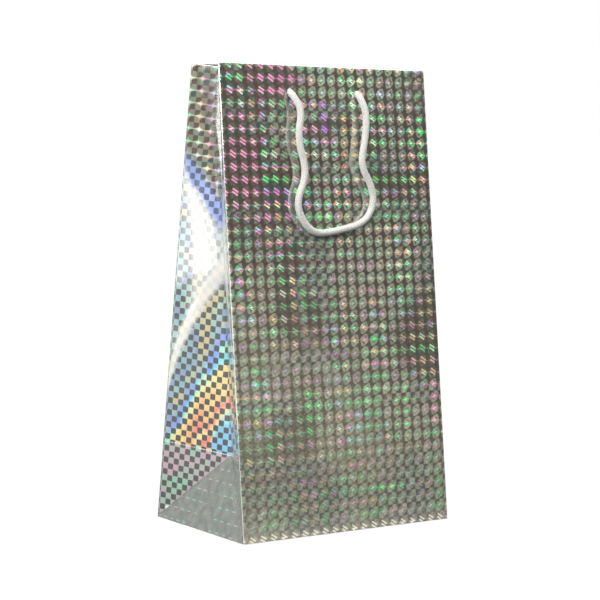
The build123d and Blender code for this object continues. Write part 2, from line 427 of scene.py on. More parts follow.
# the tints of the dark ground between the ovals
GROUNDS = [
    (0.00, (96, 62, 74)), (0.30, (84, 82, 48)), (0.50, (50, 84, 80)), (0.70, (104, 74, 56)),
    (1.00, (96, 62, 74)),
]
WHITE, PRINT_DARK = (255, 255, 255), (30, 26, 20)
PINK, GREEN, ORANGE, VIOLET = (255, 132, 200), (40, 235, 105), (250, 150, 70), (190, 100, 235)
# painted highlights along the front panel's creases, in mm: from, to, half width
PAINTED_CREASE_HIGHLIGHTS = [
    ((56, 176), (60, 140), 6.0), ((60, 140), (84, 108), 10.0), ((84, 108), (103, 66), 9.0),
    ((142, 37), (148, 28), 2.5), ((148, 28), (153, 17), 2.5),
]
# places on the front panel where neighbouring glints share a colour, in lattice cells:
# across, up, half width, half height, colour
CLUSTERS = [
    (1.6, 30.6, 2.1, 4.6, PINK), (5.2, 37.0, 2.6, 1.7, PINK), (5.0, 29.0, 1.7, 0.75, GREEN),
    (16.6, 29.0, 2.6, 0.75, GREEN), (20.2, 33.6, 0.8, 1.6, GREEN), (16.4, 10.2, 1.7, 2.4, GREEN),
    (7.2, 10.6, 1.3, 2.2, GREEN), (14.6, 4.0, 2.0, 0.8, GREEN), (20.1, 10.8, 0.9, 2.4, PINK),
    (10.0, 34.0, 0.8, 2.0, VIOLET), (12.2, 32.0, 1.1, 2.6, ORANGE),
]


class Lattice:
    """The film's cells, and where a point is on the card, in mm and in cells."""

    def __init__(self, paint, place):
        self.u, self.v = place
        self.across, self.up = self.u * CELL, self.v * CELL
        self.row = self.up / ROW + ROW_SHIFT
        u, row = self.u + 0.55, self.row + 0.5
        self.x, self.y = u.run("FRACT") - 0.5, row.run("FRACT") - 0.5
        self.chance = paint.chance(paint.vector(u.run("FLOOR"), row.run("FLOOR")))
        # slow changes: along upright streaks, in clouds, and in small patches
        self.streak = self.field(paint, 1.0, 0.30, 0.0, 0.24)
        self.cloud = self.field(paint, 1.0, 0.85, 40.0, 0.12)
        self.patch = self.field(paint, 1.1, 0.55, 77.0, 0.31)
        self.line = self.field(paint, 0.22, 1.6, 120.0, 0.3)
        # distance from the nearest upright edge, positive on a gusset
        left = abs(self.across + HALF)
        right = abs(self.across - (WIDTH + HALF))
        self.edge = HALF - left.least(right)
        self.gusset = self.edge.step(-0.1, 0.1)
        self.foot = (self.edge - self.up).step(-0.2, 0.2)
        # zones of the panels' print: short strokes in place of ovals, paler low down, plain checks
        self.hem_row = self.up.step(9.0, 5.0)
        corner = (9.5 - self.u).step(0.0, 4.0) * (self.row - 25.0).step(-4.0, 2.0)
        self.strokes = self.cloud.step(0.62, 0.9).most(corner).most(self.hem_row)
        self.low = (17.0 - self.row).step(-14.0, 12.0)
        plain = (self.up.step(60.0, 52.0) * 0.6).most(self.streak.step(0.7, 0.95) * 0.7)
        self.plain = plain.most(self.line.step(0.2, 0.0) * 0.8)

    def field(self, paint, wide, tall, shift, scale):
        place = paint.vector(self.u * wide + shift, self.row * tall + shift)
        return paint.noise(place, scale, 1.0).step(0.28, 0.72)


def squares(spot, edge):
    """Half-cell squares: 1 up-right and down-left of a node, 0 in the other two."""
    return (spot.x.wave() * spot.y.wave()).step(edge * -1, edge)


def glyph(x, y, size, whole):
    """A node's glint: two falling strokes with a bar between, or a whole diamond."""
    diamond = abs(x) / (size * 0.46) + abs(y) / (size * 0.27)
    ring = abs(diamond - 0.85).step(0.35, 0.08)
    offset = (y + x * 0.6) / size
    reach = abs(x - y * 0.25) / size
    pair = abs(abs(offset) - 0.14).step(0.12, 0.04) * reach.step(0.34, 0.24)
    strokes = pair.most(ring * whole)
    long = (x * 0.96 + y * 0.28) / (size * 0.2)
    thin = (y - x * 0.3) / (size * 0.07)
    core = (long * long + thin * thin).step(1.9, 0.2)
    return strokes, core


def panel_color(paint, spot):
    """The panels' print: ovals of grey-green on brown. Gives the print and its slanting rims, which are
    painted highlights.
    """
    mix = paint.mix
    low, plain = spot.low, spot.plain
    pale = low * (11.0 - spot.u).step(-9.0, 9.0)
    dark = mix(low, (92, 66, 56), (126, 116, 98))
    dark = mix(pale * 0.9, dark, (190, 184, 158))
    dark = mix(spot.cloud * 0.6, dark, (90, 96, 70))
    ground = (spot.patch * 0.9 + spot.line * 0.7 + spot.chance * 0.15).run("FRACT")
    dark = mix((1 - low) * 0.9, dark, paint.ramp(ground, GROUNDS))
    dark = mix(plain * spot.cloud.step(0.3, 0.6) * 0.6, dark, (90, 94, 108))
    light = mix(low, (224, 232, 204), (240, 234, 214))
    light = mix(spot.patch * 0.6, light, (166, 216, 156))
    light = mix(spot.line.step(0.6, 0.9) * 0.5, light, (216, 192, 180))

    wide = (spot.x * 0.88 - spot.y * 0.42) / 0.37
    tall = (spot.y * 0.88 + spot.x * 0.42) / 0.53
    oval = (wide * wide + tall * tall).run("SQRT") * 0.5 + (abs(wide) + abs(tall)) * 0.42
    fill = (abs(oval - 0.74).step(0.48, 0.05) * 0.95).most(oval.step(0.7, 0.1) * 0.75)
    # painted highlights: bright rims on the slanting sides of each oval, drawn later in the glints'
    # colours
    beside = (spot.y - spot.x * 1.1) / 1.5
    along = abs((spot.x + spot.y * 0.8) / 1.3 + beside * 0.43)
    rim = abs(abs(beside) - 0.27).step(0.1, 0.03) * along.step(0.32, 0.14)
    rim = rim * spot.patch.step(0.4, 0.75) * (1 - spot.strokes)
    fill = fill * (1 - spot.strokes * 0.75) * (1 - plain) + squares(spot, 0.3) * plain * 0.85
    fill = fill.most(abs(spot.y).step(0.08, 0.02) * 0.45)
    return mix(fill * (0.68 + spot.chance * 0.32), dark, light), rim


def paint_film():
    paint = Paint("holographic_film")
    mix = paint.mix
    spot = Lattice(paint, paint.paper())
    panel, rim = panel_color(paint, spot)

    # the glints wander a little about the nodes
    x = spot.x - (spot.cloud - 0.5) * 0.14
    y = spot.y - (spot.patch - 0.5) * 0.12
    size = 0.72 + spot.strokes * 0.28
    strokes, core = glyph(x, y, size, spot.streak.step(0.5, 0.7) * (1 - spot.strokes * 0.6))
    hue = (spot.streak * 1.1 + spot.line * 1.2 + spot.chance * 0.25).run("FRACT")
    tint = paint.ramp(hue, GLINTS)
    power = 0.56 + spot.patch.step(0.35, 0.8) * 0.42 + spot.chance.step(0.7, 0.98) * 0.3
    power = power * (1 - spot.plain * 0.6) * (1 - spot.low * 0.35)
    power = power.most(spot.hem_row * 0.75)
    tint = mix(spot.hem_row, tint, (244, 234, 204))
    for across, up, half_width, half_height, color in CLUSTERS:
        du, dv = (spot.u - across) / half_width, (spot.row - up) / half_height
        near = (du * du + dv * dv).step(1.25, 0.35)
        tint = mix(near * 0.85, tint, color)
        power = power.most(near * (0.7 + spot.chance * 0.3))

    grain = paint.noise(paint.vector(spot.u, spot.row), 4.0, 2.0).step(0.35, 0.65)
    shaded = (spot.u - 12.0).step(0.0, 7.0) * (spot.row - 18.0).step(0.0, 12.0)
    panel = mix(0.25 + grain * 0.35 - spot.low * 0.12 + shaded * 0.16, panel, PRINT_DARK)
    # painted highlight: the film paler along the front panel's creases, most on its light squares
    pale_mark = painted_crease_highlights(spot) * (0.08 + squares(spot, 0.3) * 0.26)
    panel = mix(pale_mark, panel, (200, 204, 186))
    panel = mix(rim * (0.25 + power * 0.6), panel, tint)
    panel = mix(strokes * power, panel, tint)
    core = core * (1 - spot.strokes * spot.patch.step(0.15, 0.4))
    panel = mix(core * (power * 0.9 + 0.2), panel, mix(0.6, tint, WHITE))

    side = gusset_color(paint, spot, x, y)
    color = mix(spot.gusset, panel, side)
    color = mix(spot.foot, color, foot_color(paint, spot))
    color = fold_wear_and_painted_light(paint, spot, color)

    # painted glints that glow: where the glints are, the film gives off its own colour as light
    glint_glow = (strokes * power).most(core * power) * (1 - spot.gusset)
    normal = paint.bump(squares(spot, 0.2), 0.00006, 0.25)
    return paint.finish(
        Base_Color=color, Metallic=0.35, Roughness=0.42, Normal=normal,
        Coat_Weight=1.0, Coat_IOR=4.0, Coat_Roughness=0.07,
        Emission_Color=color, Emission_Strength=glint_glow * 0.62,
    )


def paint_base_card():
    """The base flaps: film underneath, where it has rubbed on tables, and white card above."""
    paint = Paint("base_card")
    mix = paint.mix
    x, y, _ = paint.split(paint.place())
    spot = Lattice(paint, (x / (CELL * MM) + WIDTH / 2 / CELL, y / (CELL * MM) + DEPTH / CELL))
    strokes, core = glyph(spot.x, spot.y, 0.72, 1.0)
    pale_mark = paint.noise(paint.place(), 30.0, 4.0, 0.7).step(0.35, 0.7)
    film = mix(0.35, panel_color(paint, spot)[0], PRINT_DARK)
    film = mix(strokes.most(core) * 0.7, film, paint.ramp(spot.streak, GLINTS))
    film = mix(pale_mark * 0.4, film, (158, 160, 150))
    under = paint.split(paint.node("ShaderNodeTexCoord", output="Normal"))[2].step(-0.4, -0.6)
    shade, grain = card_shade(paint)
    color, normal = mix(under, shade, film), paint.bump(grain, 0.0001, 0.4)
    return paint.finish(
        Base_Color=color, Metallic=under * 0.35, Normal=normal,
        Roughness=0.72 - under * 0.24, Coat_Weight=under, Coat_IOR=4.0, Coat_Roughness=pale_mark * 0.2 + 0.07,
    )


def painted_crease_highlights(spot):
    """Painted highlights on the front panel, along its creases and beside its left fold."""
    total = (spot.up - 160.0).within(-14.0, 10.0, 12.0) * spot.across.step(26.0, 4.0) * 0.6
    for start, end, width in PAINTED_CREASE_HIGHLIGHTS:
        along, up = end[0] - start[0], end[1] - start[1]
        across, height = spot.across - start[0], spot.up - start[1]
        share = (across * along + height * up) / (along * along + up * up)
        share = share.most(0.0).least(1.0)
        away = across - share * along, height - share * up
        distance = (away[0] * away[0] + away[1] * away[1]).run("SQRT")
        total = total.most(distance.step(width, 0.0))
    return total


def gusset_color(paint, spot, x, y):
    """The gussets: crisp squares in bands of colour, with a painted highlight, pale and milky, where the
    card buckles outwards, and painted star glints above the buckle.
    """
    mix = paint.mix
    high = BUCKLE_HEAD - spot.edge * (HEAD_FALL / GUSSET_SPAN)
    below = (spot.edge * 104.0 - (spot.up - 58.0) * 51.0) / 116.0
    crisp = below.step(-4.0, 3.0)
    upper = (spot.up - high).step(8.0, 22.0)
    block = spot.up.step(58.5, 56.5)
    stripe = below + (spot.patch - 0.5) * 16.0 * below.step(0.0, 12.0) + (spot.chance - 0.5) * 8.0
    bands = paint.ramp(stripe / 40.0, SPECTRUM)
    pale = paint.ramp((spot.patch * 0.22 + spot.chance * 0.36 + 0.86).run("FRACT"), SPECTRUM)
    bright = mix(0.4, pale, (190, 192, 182))
    bright = mix(0.3, bright, (60, 66, 56))
    bright = mix(crisp, bright, bands)
    blue_edge = (spot.up - high).within(-4.0, 17.0, 7.0)
    bright = mix(blue_edge * 0.8, bright, (140, 158, 222))
    facet = paint.ramp((spot.chance + spot.line * 0.5).run("FRACT"), GROUNDS)
    bright = mix(upper, bright, mix(0.5, facet, (150, 156, 136)))
    bright = mix(block, bright, mix(spot.chance, (196, 160, 176), (140, 196, 164)))
    dark = mix(crisp, (30, 40, 34), (16, 20, 10))
    dark = mix(blue_edge * 0.7, dark, (96, 106, 140))
    dark = mix(upper, dark, mix(0.4, facet, (52, 44, 36)))
    dark = mix(block, dark, (28, 36, 26))
    card = (spot.x.wave() * spot.y.wave()).step(-0.2, 0.12)
    color = mix(card, dark, bright)
    # painted highlight, milky white, where the buckle is steepest: between its lower and upper edges, off
    # the fold, and a brighter painted streak along its lower edge
    low = spot.edge.most(0.0).run("SQRT") * FOOT_CLIMB + BUCKLE_FOOT
    middle = (spot.up - ARCH_MIDDLE) / ARCH_HALF_HEIGHT
    start = (1 - middle * middle).most(0.0) * START_ARCH + BUCKLE_START
    inside = (spot.up - low).step(-4.0, 5.0) * (high - spot.up).step(-3.0, 7.0)
    painted_milky_highlight = inside * (spot.edge - start).step(-2.0, 4.0)
    streak = (spot.up - low).within(-8.0, 12.0, 6.0)
    color = mix((painted_milky_highlight * 0.42).most(streak * 0.8), color, (250, 246, 236))

    # painted glints: stars in columns of colour above the buckle
    long, thin = x / 0.8, y / 0.28
    star = (abs(long).run("SQRT") + abs(thin).run("SQRT")).step(1.3, 0.5)
    column = paint.ramp((spot.u * 0.31 + spot.row * 0.06 + spot.chance * 0.2).run("FRACT"), GLINTS)
    shine = mix(0.3, column, WHITE)
    return mix(star * upper * (1 - block), color, shine)


def foot_color(paint, spot):
    """The triangles at the foot: nearly plain, with a fine dash on each node, which is a painted glint."""
    grain = paint.noise(paint.vector(spot.u, spot.row), 1.6, 3.0)
    color = paint.mix(grain.step(0.3, 0.7), (52, 62, 50), (100, 110, 96))
    long, thin = spot.x / 0.3, spot.y / 0.06
    dash = (long * long + thin * thin).step(1.4, 0.3) * spot.streak.step(0.3, 0.7)
    tint = paint.mix(spot.patch.step(0.4, 0.7), (120, 214, 190), (236, 170, 190))
    return paint.mix(dash * 0.45, color, tint)


def fold_wear_and_painted_light(paint, spot, color):
    """White along the folds, where the print cracks and where a painted highlight stands for the light on
    the rounded folds; painted shade, darker, along the gussets' slanting folds.
    """
    speck = paint.noise(paint.vector(spot.u, spot.row), 9.0, 2.0).step(0.35, 0.6)
    # painted highlight, with cracked print: white lines along the upright folds and the gussets' level
    # fold
    upright = abs(spot.edge).step(0.5, 0.15)
    level = abs(spot.up - HALF).step(0.7, 0.25) * spot.gusset * (1 - spot.foot)
    # painted shade: darker along the gussets' slanting folds
    painted_fold_shade = abs(spot.edge - spot.up).step(0.9, 0.3) * spot.gusset
    line = (upright * (0.25 + speck * 0.35)).most(level * speck * 0.8)
    color = paint.mix(painted_fold_shade * 0.6, color, (84, 78, 68))
    return paint.mix(line, color, (240, 240, 236))


CORD_WHITE = paint_cord()
PAPER = paint_paper()
BOARD = paint_board()
FILM = paint_film()
BASE_CARD = paint_base_card()


# ---- the handles ----
# Each cord's route on its wall, in metres: across from the middle as seen from outside, below
# the top edge, and out from the panel's face.
ROUTES = {
    "front": [
        (-0.0315, 0.0200, 0.0060), (-0.0265, 0.0330, 0.0066), (-0.0316, 0.0530, 0.0062),
        (-0.0238, 0.0770, 0.0052), (-0.0342, 0.0970, 0.0042), (-0.0280, 0.1120, 0.0032),
        (-0.0175, 0.1196, 0.0028), (0.0020, 0.1175, 0.0027), (0.0250, 0.1125, 0.0030),
        (0.0342, 0.0990, 0.0038), (0.0318, 0.0850, 0.0048), (0.0226, 0.0710, 0.0054),
        (0.0275, 0.0530, 0.0060), (0.0298, 0.0350, 0.0066), (0.0270, 0.0200, 0.0060),
    ],
    "rear": [
        (-0.02925, 0.0200, 0.0060), (-0.0315, 0.0360, 0.0065), (-0.0285, 0.0560, 0.0061),
        (-0.0320, 0.0770, 0.0052), (-0.0305, 0.0970, 0.0042), (-0.0235, 0.1120, 0.0032),
        (-0.0100, 0.1195, 0.0028), (0.0070, 0.1190, 0.0027), (0.0220, 0.1125, 0.0030),
        (0.0305, 0.0980, 0.0038), (0.0325, 0.0800, 0.0049), (0.0280, 0.0600, 0.0058),
        (0.0308, 0.0400, 0.0063), (0.02925, 0.0200, 0.0060),
    ],
}
# drop and out of the points inside a hole, where the cord already slopes downwards
NECK = [(0.0186, -0.0025), (0.0200, 0.0006), (0.0232, 0.0042)]


def handle(wall):
    """The cord from hole to hole."""
    route = ROUTES[wall]
    first, last = route[0][0], route[-1][0]
    into = [(first, drop, out) for drop, out in NECK]
    back = [(last, drop, out) for drop, out in reversed(NECK)]
    route = np.array(into + route[1:-1] + back) / MM
    points = [on_wall(wall, across, HEIGHT - drop, out) * MM for across, drop, out in route]
    line = smooth_line(f"{wall}_route", points)
    name = f"{wall}_handle_cord"
    piece = make_object(name, tube(name, line, braid), [CORD_WHITE])
    hinge_side = on_wall(wall, 0, HEIGHT - HOLE_DROP, 0) * MM
    loop_side = on_wall(wall, 0, HEIGHT - HOLE_DROP - 7, SWING_OUT) * MM
    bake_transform(piece)
    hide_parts(f"{wall}_cord")
    tuple(on_wall(wall, first / MM, HEIGHT - HOLE_DROP, 0) * MM)


def knot(wall, number):
    """An overhand knot behind the hem, with the cord's cut end hanging below it."""
    across, up = hole_places(wall)[number]
    behind = 2 * CARD + STIFFENER + 6.0
    turns = np.linspace(-0.1 * pi, 1.42 * pi, 60)
    size = 1.75
    coil = [
        size * (np.sin(turns) + 1.25 * np.sin(2 * turns)),
        size * (np.cos(turns) - 1.25 * np.cos(2 * turns)),
        -1.5 * np.sin(3 * turns),
    ]
    hole_end = np.array([[0, 0, behind - 2.0], [0, 0, behind - 4.5]])
    tail = np.array([[0.6, -7.0, -1.2], [0.9, -13.0, -0.6]])
    shape = np.vstack([hole_end, np.transpose(coil), tail])
    side = 1 if number else -1
    line = on_wall(wall, across + side * shape[:, 0], up + shape[:, 1], shape[:, 2] - behind)
    name = f"{wall}_knot_{('left', 'right')[number]}"
    line = smooth_line(f"{wall}_knot_route", line * MM)
    piece = make_object(f"{name}_cord", tube(name, line, braid), [CORD_WHITE])
    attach(piece, f"{wall}_wall")
    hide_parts(name)


for wall in FACES:
    handle(wall)
    for number in (0, 1):
        knot(wall, number)


# ---- sheets of card ----
def circle(center, radius, count=40):
    angles = np.linspace(0, 2 * pi, count, endpoint=False)
    return [(center[0] + radius * cos(a), center[1] + radius * sin(a)) for a in angles]


def inside(points, polygon):
    """Which points lie inside a polygon."""
    x, y = points[:, 0], points[:, 1]
    found = np.zeros(len(points), bool)
    for (x0, y0), (x1, y1) in zip(polygon, polygon[1:] + polygon[:1]):
        if y0 == y1:
            continue
        crosses = (y0 > y) != (y1 > y)
        found ^= crosses & (x < (x1 - x0) * (y - y0) / (y1 - y0) + x0)
    return found


def distance_to_edge(points, polygon):
    nearest = np.full(len(points), 1e9)
    for start, end in zip(polygon, polygon[1:] + polygon[:1]):
        start, end = np.array(start), np.array(end)
        along = end - start
        t = np.clip(((points - start) @ along) / (along @ along), 0, 1)
        nearest = np.minimum(nearest, norm(points - start - t[:, None] * along, axis=1))
    return nearest


def split_edges(polygon, columns, rows):
    """The polygon's edges cut where the grid's columns or rows cross them."""
    loop = []
    for start, end in zip(polygon, polygon[1:] + polygon[:1]):
        loop.append(start)
        du, dv = end[0] - start[0], end[1] - start[1]
        if abs(dv) >= abs(du):
            cuts = [(row - start[1]) / dv for row in rows]
        else:
            cuts = [(column - start[0]) / du for column in columns]
        for t in sorted(t for t in cuts if 0.004 < t < 0.996):
            loop.append((start[0] + t * du, start[1] + t * dv))
    return loop


def directions(place, u, v):
    """A sheet's outward and upward unit vectors at (U, V)."""
    small = 0.05
    across = place(u + small, v) - place(u - small, v)
    upward = place(u, v + small) - place(u, v - small)
    outward = np.cross(across, upward)
    return [vector / norm(vector, axis=-1)[..., None] for vector in (outward, upward)]


def sheet(name, polygon, columns, rows, place, holes=(), start=0.0):
    """A closed sheet of card. place maps (U, V) arrays to space; its outside is where U x V points.
    start is added to U for the print."""
    points = split_edges(polygon, columns, rows)
    gap = 0.3 * min(np.diff(sorted(columns)).min(), np.diff(sorted(rows)).min())
    grid = np.array([(column, row) for column in columns for row in rows], float)
    grid = grid[inside(grid, polygon) & (distance_to_edge(grid, polygon) > gap)]
    edges = closed(0, len(points))
    for center, radius in holes:
        away = norm(grid - np.array(center), axis=1)
        grid = grid[away > radius * 1.8]
        rim = circle(center, radius)
        first = len(points)
        points += rim
        edges += closed(first, len(rim))
        points += circle(center, radius * 1.4, 20)
    points += [tuple(point) for point in grid]
    flat, _, faces, *_ = delaunay_2d_cdt([Vector(point) for point in points], edges, [], 0, 1e-5)
    flat = np.array([tuple(point) for point in flat])
    middles = np.array([flat[list(face)].mean(axis=0) for face in faces])
    keep = inside(middles, polygon)
    for center, radius in holes:
        keep &= norm(middles - np.array(center), axis=1) > radius * 0.98
    faces = [tuple(face) for face, wanted in zip(faces, keep) if wanted]
    used = sorted({i for face in faces for i in face})
    renumber = {old: new for new, old in enumerate(used)}
    flat = flat[used]
    faces = [tuple(renumber[i] for i in face) for face in faces]
    u, v = flat[:, 0], flat[:, 1]
    outer = place(u, v)
    normals, _ = directions(place, u, v)
    inner = outer - normals * CARD
    count = len(flat)
    sides = dict.fromkeys(pair for face in faces for pair in zip(face, face[1:] + face[:1]))
    rim = [(i, j) for (i, j) in sides if (j, i) not in sides]
    all_faces = faces + [tuple(i + count for i in reversed(face)) for face in faces]
    all_faces += [(j, i, i + count, j + count) for i, j in rim]
    mesh = make_mesh(name, np.vstack([outer, inner]), all_faces)
    slots = [0] * len(faces) + [1] * (len(faces) + len(rim))
    mesh.polygons.foreach_set("material_index", slots)
    layer = mesh.uv_layers.new(name="paper")
    doubled = np.vstack([flat, flat]) / CELL + (start / CELL, 0)
    loops = np.empty(len(mesh.loops), int)
    mesh.loops.foreach_get("vertex_index", loops)
    layer.data.foreach_set("uv", doubled[loops].ravel())
    mesh.polygons.foreach_set("use_smooth", [i < 2 * len(faces) for i in range(len(all_faces))])
    # the cut edges are crisp
    crisp = {frozenset(edge) for edge in rim} | {frozenset((i + count, j + count)) for i, j in rim}
    sharp = mesh.attributes.new("sharp_edge", "BOOLEAN", "EDGE")
    sharp.data.foreach_set("value", [frozenset(edge.vertices) in crisp for edge in mesh.edges])
    return make_object(name, mesh, [FILM, PAPER])


def steps(*stops):
    """Numbers from stop to stop: (start, end, step), (start, end, step) ..."""
    found = [start + i for start, end, step in stops for i in parts(end - start, step)]
    return sorted({round(number, 4) for number in found})


def parts(length, step):
    count = max(1, int(round(length / step)))
    return [length * i / count for i in range(count + 1)]


def smoothstep(t):
    t = np.clip(t, 0, 1)
    return t * t * (3 - 2 * t)


def fade(distance, width):
    """0 at a border, 1 from width on."""
    return smoothstep(distance / width)


def ridge(u, v, start, end, width):
    """1 along a line between two places on the sheet, fading to 0 at width from it."""
    start, end = np.array(start, float), np.array(end, float)
    along = end - start
    t = np.clip(((u - start[0]) * along[0] + (v - start[1]) * along[1]) / (along @ along), 0, 1)
    away = np.hypot(u - start[0] - t * along[0], v - start[1] - t * along[1])
    return 1 - smoothstep(away / width)


def ripple(u, v, seed):
    """A gentle unevenness of the card, mostly between -1 and 1."""
    generator = np.random.default_rng(seed)
    total = np.zeros(np.shape(u))
    for _ in range(7):
        length = generator.uniform(45, 150)
        angle = generator.uniform(0, pi)
        phase = generator.uniform(0, 2 * pi)
        total = total + np.sin(2 * pi * (u * cos(angle) + v * sin(angle)) / length + phase)
    return total / 4


# creases of the front panel, in mm: from, to, half width, height
CREASES = [
    ((4, 4), (58, 58), 1.8, 0.07), ((176, 4), (130, 56), 1.8, 0.06),
    ((142, 37), (148, 28), 3, -0.25), ((148, 28), (153, 17), 3, -0.25),
    ((60, 140), (84, 108), 5, 0.2), ((84, 108), (103, 66), 5, 0.2),
]


def panel_relief(wall, across, up):
    """How far the card stands out of its plane."""
    u = across + WIDTH / 2
    border = np.minimum.reduce([u - 3, WIDTH - 3 - u, up - 2, HEIGHT - HEM - 2 - up])
    calm = fade(border, 22) * smoothstep((up - 30) / 60)
    relief = 0.4 * ripple(u, up, 11 if wall == "front" else 12) * calm
    relief = relief - 0.04 * ridge(u, up, (4, 57.5), (176, 57.5), 1.6)
    if wall == "front":
        for start, end, width, height in CREASES:
            relief = relief + height * ridge(u, up, start, end, width)
    return relief


def panel_place(wall):
    def place(u, v):
        """U from 0 to 180 across this wall, past its ends round the upright folds."""
        edge = np.where(u < WIDTH / 2, SETBACK, WIDTH - SETBACK)
        outwards = np.where(u < WIDTH / 2, SETBACK - u, u - (WIDTH - SETBACK))
        angle = TURN * np.clip(outwards / (2 * SETBACK), 0, 1)
        beyond = np.where(outwards > 0, FOLD * np.sin(angle), 0) * np.where(u < WIDTH / 2, -1, 1)
        sunk = np.where(outwards > 0, FOLD * (np.cos(angle) - 1), 0)
        flat = np.where(outwards > 0, edge, u)
        relief = panel_relief(wall, flat - WIDTH / 2, v)
        return on_wall(wall, flat - WIDTH / 2 + beyond, v, sunk + relief)

    return place


def card(name, replaced, polygon, columns, rows, place, **options):
    """A sheet of card that stands for CAD nodes."""
    piece = sheet(f"{name}_card", polygon, columns, rows, place, **options)
    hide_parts(*replaced)
    return piece


def panel(wall):
    left, right, low = -SETBACK, WIDTH + SETBACK, 0.6
    folds = (left, SETBACK, 0.33), (WIDTH - SETBACK, right, 0.33)
    columns = steps(folds[0], (SETBACK, WIDTH - SETBACK, 3.5), folds[1])
    rows = steps((low, 55, 3.0), (55, 60, 0.8), (60, RIM_START, 3.5))
    corners = [(left, low), (right, low), (right, RIM_START), (left, RIM_START)]
    holes = [((across + WIDTH / 2, up), HOLE_RADIUS) for across, up in hole_places(wall)]
    options = {"holes": holes, "start": PANEL_START[wall]}
    piece = card(f"{wall}_panel", [f"{wall}_panel"], corners, columns, rows, panel_place(wall), **options)
    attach(piece, f"{wall}_wall")


for wall in FACES:
    panel(wall)


def crease_top():
    """X and Z of the top of the right gusset's centre crease, by its distances along the card
    from the panels' top corners and from the foot's apex."""
    from_corner, from_apex = sqrt(HALF**2 - (MOUTH / 2) ** 2), HEIGHT - HALF
    across, down = APEX_X - WIDTH / 2, APEX_Z - TOP
    apart = sqrt(across**2 + down**2)
    along = (from_corner**2 - from_apex**2 + apart**2) / (2 * apart)
    aside = sqrt(from_corner**2 - along**2)
    x = WIDTH / 2 + (along * across + aside * down) / apart
    return x, TOP + (along * down - aside * across) / apart


def gusset_place(half):
    """Half a gusset, by a, the distance from the panel's upright edge, and v, up the card."""
    side, face = SIDES[half[0]], FACES[half[1]]
    crease_x, crease_z = crease_top()
    corner = np.array([side * WIDTH / 2, face * HALF, 0])
    apex = np.array([side * APEX_X, 0, APEX_Z])
    top = np.array([side * WIDTH / 2, face * MOUTH / 2, TOP])
    crease = np.array([side * crease_x, 0, crease_z])
    up = (top - corner) / HEIGHT
    inwards = (apex - corner - HALF * up) / HALF
    start_a = 2 * SETBACK
    start = corner + HEIGHT * up + start_a * inwards
    crease_step = (crease - apex) / (HEIGHT - HALF)
    back = (start - crease) / (HALF - start_a)
    fold_line = np.array([start_a - HALF, HEIGHT - HALF])
    fold_length = norm(fold_line)
    fold_line = fold_line / fold_length
    fold_normal = np.array([fold_line[1], -fold_line[0]])
    outward = np.array([side * 0.886, -face * 0.46, -0.056])

    def outer_plane(a, v):
        return corner + v[..., None] * up + a[..., None] * inwards

    def inner_plane(a, v):
        return apex + (v - HALF)[..., None] * crease_step + (HALF - a)[..., None] * back

    def place(a, v):
        s = (a - HALF) * fold_normal[0] + (v - HALF) * fold_normal[1]
        along = (a - HALF) * fold_line[0] + (v - HALF) * fold_line[1]
        reach = np.minimum(along, fold_length - along)
        shift = FOLD_SHIFT * np.sin(pi * np.clip(along / fold_length, 0, 1)) ** 2
        half_bend = np.clip(0.18 * reach, 0.02, 9.0)
        to_crease = np.maximum(-along * fold_line[0] / fold_normal[0], shift + 0.01)

        def at(distance):
            return [HALF + along * fold_line[k] + distance * fold_normal[k] for k in (0, 1)]

        hinge = outer_plane(*at(shift))
        crease_point = inner_plane(*at(to_crease))

        def beyond(distance):
            share = (distance - shift) / (to_crease - shift)
            return hinge + (crease_point - hinge) * share[..., None]

        t = np.clip((s - shift + half_bend) / (2 * half_bend), 0, 1)[..., None]
        bent = (1 - t) ** 2 * outer_plane(*at(shift - half_bend)) + 2 * t * (1 - t) * hinge
        bent = bent + t**2 * beyond(shift + half_bend)
        flat = np.where((s < shift)[..., None], outer_plane(a, v), beyond(s))
        point = np.where((np.abs(s - shift) < half_bend)[..., None], bent, flat)
        return point + gusset_relief(half, a, v)[..., None] * outward

    return place


def gusset_relief(half, a, v):
    """How far half a gusset buckles outwards: a facet that starts beside the upright edge."""
    _, _, slope, seed = HALVES[half]
    low = BUCKLE_FOOT + FOOT_CLIMB * np.sqrt(np.maximum(a, 0))
    high = BUCKLE_HEAD - HEAD_FALL / GUSSET_SPAN * a
    facet = smoothstep((v - low + 14) / 26) * smoothstep((high + 30 - v) / 60)
    start = BUCKLE_START + START_ARCH * np.clip(1 - ((v - ARCH_MIDDLE) / ARCH_HALF_HEIGHT) ** 2, 0, 1)
    beyond = a - start
    rise = slope * (beyond + np.hypot(beyond, 3)) / 2 * (1 - smoothstep((a - 36) / 21.5))
    border = np.minimum.reduce([a - SETBACK, HALF - a, v - a - 1, HEIGHT - HEM - 4 - v])
    relief = rise * facet + 0.4 * ripple(a, v, seed) * fade(border, 14)
    near_diagonal = fade(v - a, 14)
    return relief * near_diagonal - 0.25 * ridge(a, v, (3, 57.5), (54, 57.5), 1.5) * fade(v - a, 3)


def gusset_card(half, name, replaced, corners, rows, place):
    """Half a gusset or its hem, by its corners' (a, v)."""
    edge, way, *_ = HALVES[half]
    polygon = [(edge + way * a, v) for a, v in corners][::way]
    columns = sorted(edge + way * a for a in steps((SETBACK, HALF, 2.4)))
    piece = card(name, replaced, polygon, columns, rows, lambda u, v: place((u - edge) * way, v))
    start, end = (on_wall(half[1], 0, HALF, out) * MM for out in (0, -18))
    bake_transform(piece)


def half_gusset(half):
    low = SETBACK + 0.25
    corners = [(SETBACK, low), (HALF, HALF), (HALF, RIM_START), (SETBACK, RIM_START)]
    rows = steps((low, 54, 3.0), (54, 61, 0.9), (61, RIM_START, 3.2))
    name = f"{half[0]}_gusset_{half[1]}"
    replaced = [f"{name}_outer", f"{name}_inner"]
    gusset_card(half, name, replaced, corners, rows, gusset_place(half))


for half in HALVES:
    half_gusset(half)


